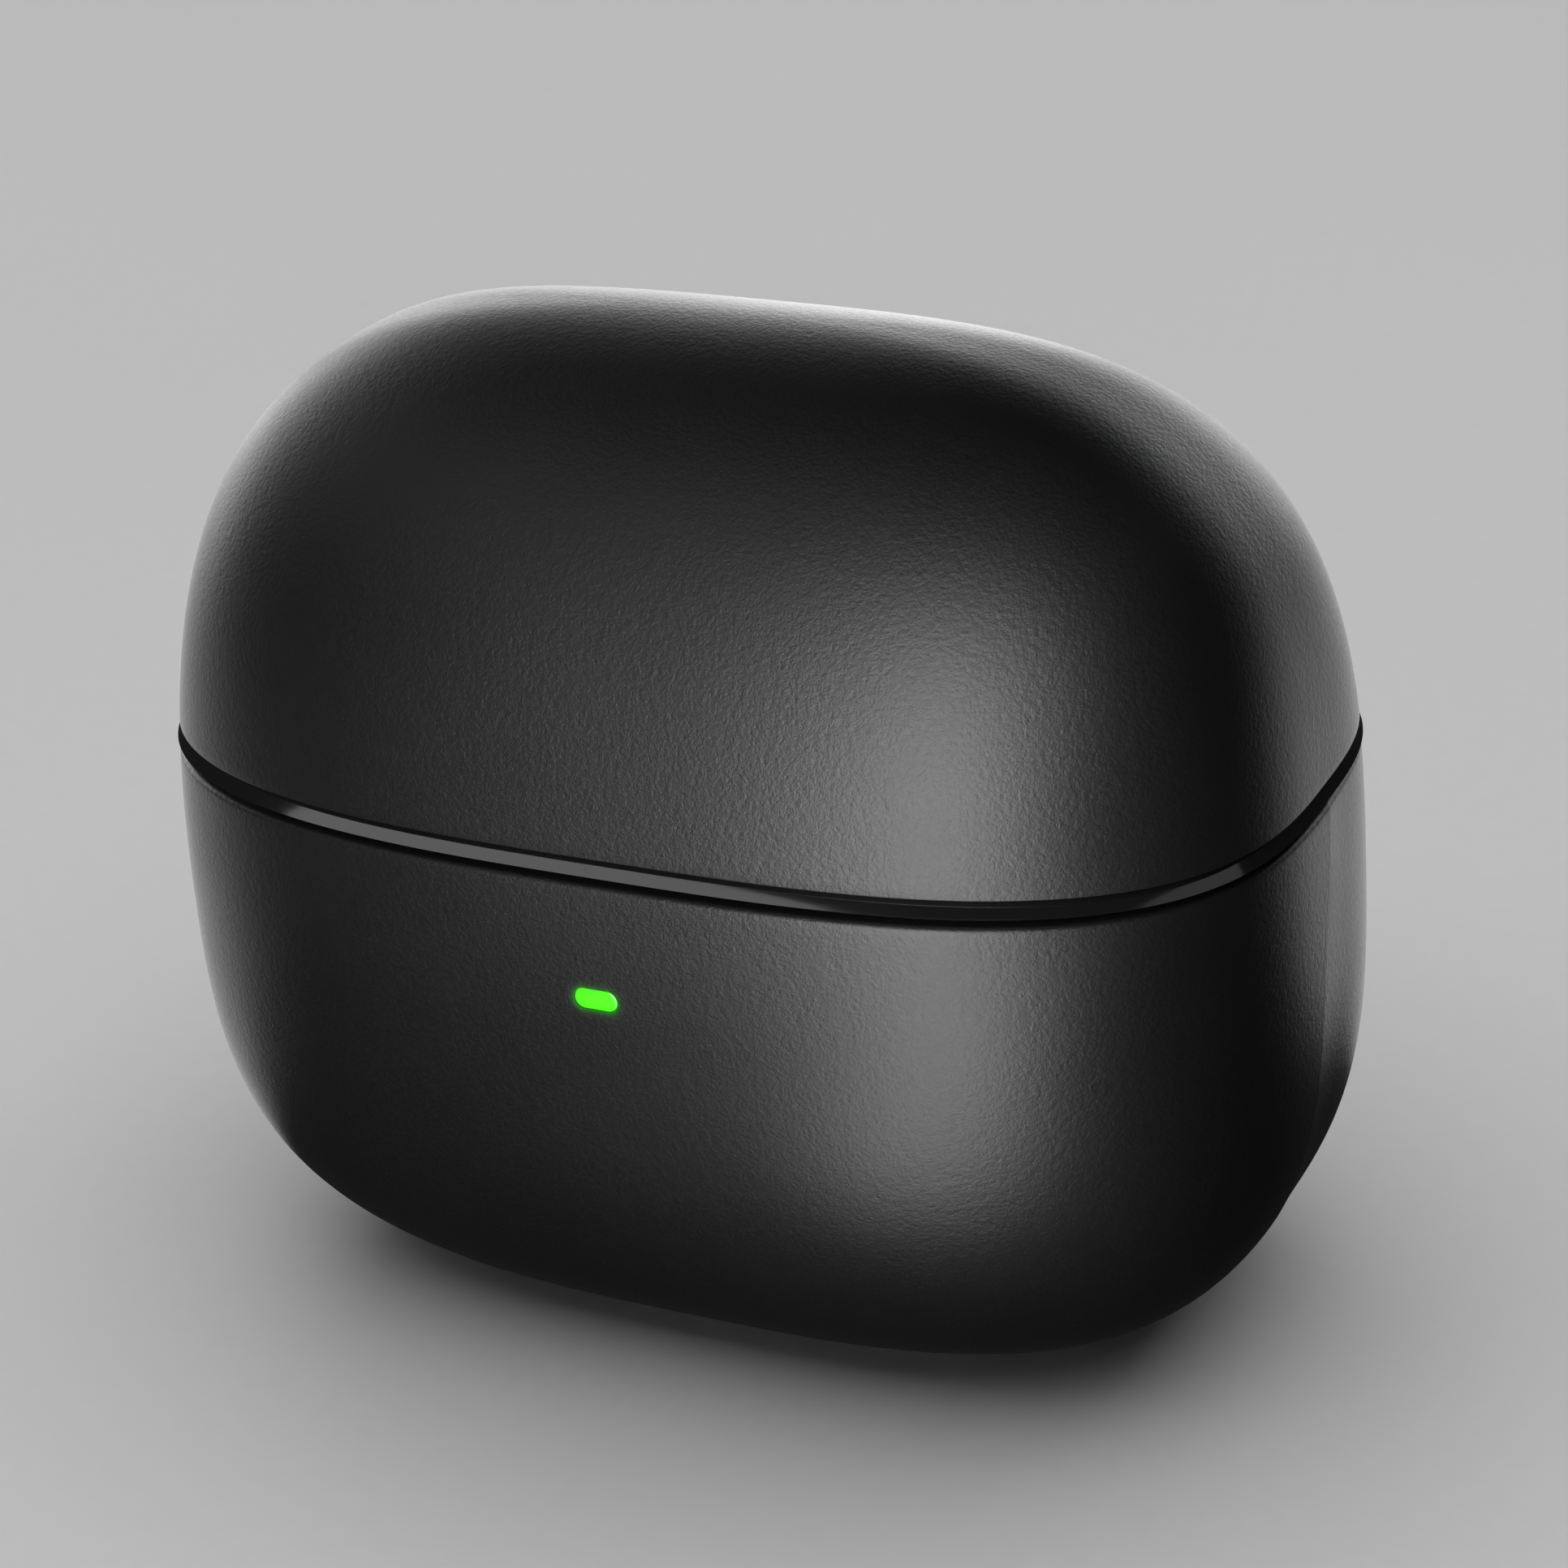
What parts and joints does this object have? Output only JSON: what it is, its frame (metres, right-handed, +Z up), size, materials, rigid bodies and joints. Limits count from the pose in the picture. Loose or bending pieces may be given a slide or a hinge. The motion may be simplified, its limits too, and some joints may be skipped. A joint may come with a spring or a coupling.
{
  "type": "wireless earbuds case",
  "caption": "Matte black pebble-shaped charging case for wireless earbuds, with a rear-hinged lid, two lined bays, a front status light and a rear charging port.",
  "frame": {"origin": "middle of the flat foot, on the plane the case stands on", "axes": "+Z up, -Y towards the front with the status light, +X along the width"},
  "size_m": [0.058, 0.0364, 0.0503],
  "materials": {
    "matte_shell": "fine moulded grain, matte black",
    "gloss_ring": "polished black",
    "satin_liner": "satin black",
    "black_plastic": "moulded",
    "steel": "stamped and tumbled",
    "screw_steel": "black oxide",
    "nickel_magnet": "nickel plated",
    "gold_contact": "gold plated",
    "cell_pouch": "laminated foil",
    "foam": "open foam",
    "green_board": "solder mask",
    "amber_flex": "polyimide film",
    "green_lens": "lit green, diffusing"
  },
  "bodies": {
    "base": {"base_front_shell": "matte_shell", "base_rear_shell": "matte_shell", "rim_ring": "gloss_ring", "bud_tray": "satin_liner", "base_hinge_bracket": "steel", "hinge_pin": "steel", "hinge_screw_left": "screw_steel", "hinge_screw_right": "screw_steel", "base_magnet_left": "nickel_magnet", "base_magnet_right": "nickel_magnet", "bud_magnet_left": "nickel_magnet", "bud_magnet_right": "nickel_magnet", "contact_block_left": "black_plastic", "contact_block_right": "black_plastic", "battery_cell": "cell_pouch", "battery_pad": "foam", "main_board": "green_board", "board_screw_left": "screw_steel", "board_screw_right": "screw_steel", "usb_c_receptacle": "steel", "button_switch": "black_plastic", "led_lens": "green_lens", "led_board": "green_board", "led_chip": "green_lens", "hall_sensor": "black_plastic", "led_flex": "amber_flex"},
    "lid": {"lid_shell": "matte_shell", "lid_liner": "satin_liner", "lid_hinge_bracket": "steel", "lid_magnet_left": "nickel_magnet", "lid_magnet_right": "nickel_magnet"},
    "button": {"pair_button": "matte_shell"},
    "pin_left_front": {"charge_pin_left_front": "gold_contact"},
    "pin_left_rear": {"charge_pin_left_rear": "gold_contact"},
    "pin_right_front": {"charge_pin_right_front": "gold_contact"},
    "pin_right_rear": {"charge_pin_right_rear": "gold_contact"}
  },
  "joints": [
    {"name": "lid_hinge", "type": "hinge", "parent": "base", "child": "lid", "pos_m": [0, 0.0164, 0.02954], "axis": [-1, 0, 0], "range_deg": [0, 100]},
    {"name": "button_press", "type": "slide", "parent": "base", "child": "button", "axis": [0, -1, 0], "range_m": [0, 0.00035], "stiffness_N_per_m": 800},
    {"name": "pin_left_front_press", "type": "slide", "parent": "base", "child": "pin_left_front", "axis": [0, 0, -1], "range_m": [0, 0.0006], "stiffness_N_per_m": 400},
    {"name": "pin_left_rear_press", "type": "slide", "parent": "base", "child": "pin_left_rear", "axis": [0, 0, -1], "range_m": [0, 0.0006], "stiffness_N_per_m": 400},
    {"name": "pin_right_front_press", "type": "slide", "parent": "base", "child": "pin_right_front", "axis": [0, 0, -1], "range_m": [0, 0.0006], "stiffness_N_per_m": 400},
    {"name": "pin_right_rear_press", "type": "slide", "parent": "base", "child": "pin_right_rear", "axis": [0, 0, -1], "range_m": [0, 0.0006], "stiffness_N_per_m": 400}
  ]
}
